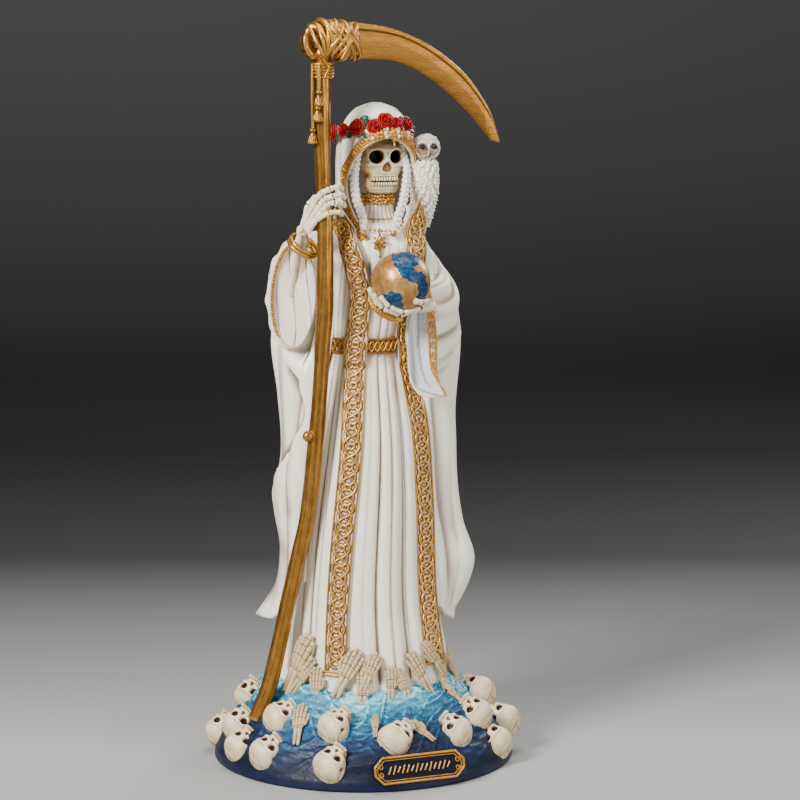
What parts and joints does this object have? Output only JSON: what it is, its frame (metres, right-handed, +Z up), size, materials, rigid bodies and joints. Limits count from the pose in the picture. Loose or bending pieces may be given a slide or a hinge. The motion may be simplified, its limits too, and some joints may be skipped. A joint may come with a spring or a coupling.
{
  "type": "santa muerte figure",
  "caption": "Standing hooded skeleton in robe and cloak on a mound of waves, skulls and hands, holding a scythe and a globe, with an owl on the shoulder.",
  "frame": {"origin": "centre of the mound's flat underside, on the table", "axes": "+Z up, -Y the way the figure faces, +X the figure's left"},
  "size_m": [0.1849, 0.1944, 0.4491],
  "materials": {
    "painted_resin": "painted cast resin: pearl-white robe with a grey wash in the folds, ivory bone with a brown wash, blue sea, gold trim, red roses",
    "gilded_resin": "antique gold paint, brushed, dark in the carved nicks"
  },
  "bodies": {
    "root": {"figure": "painted_resin", "scythe": "gilded_resin"}
  },
  "joints": []
}
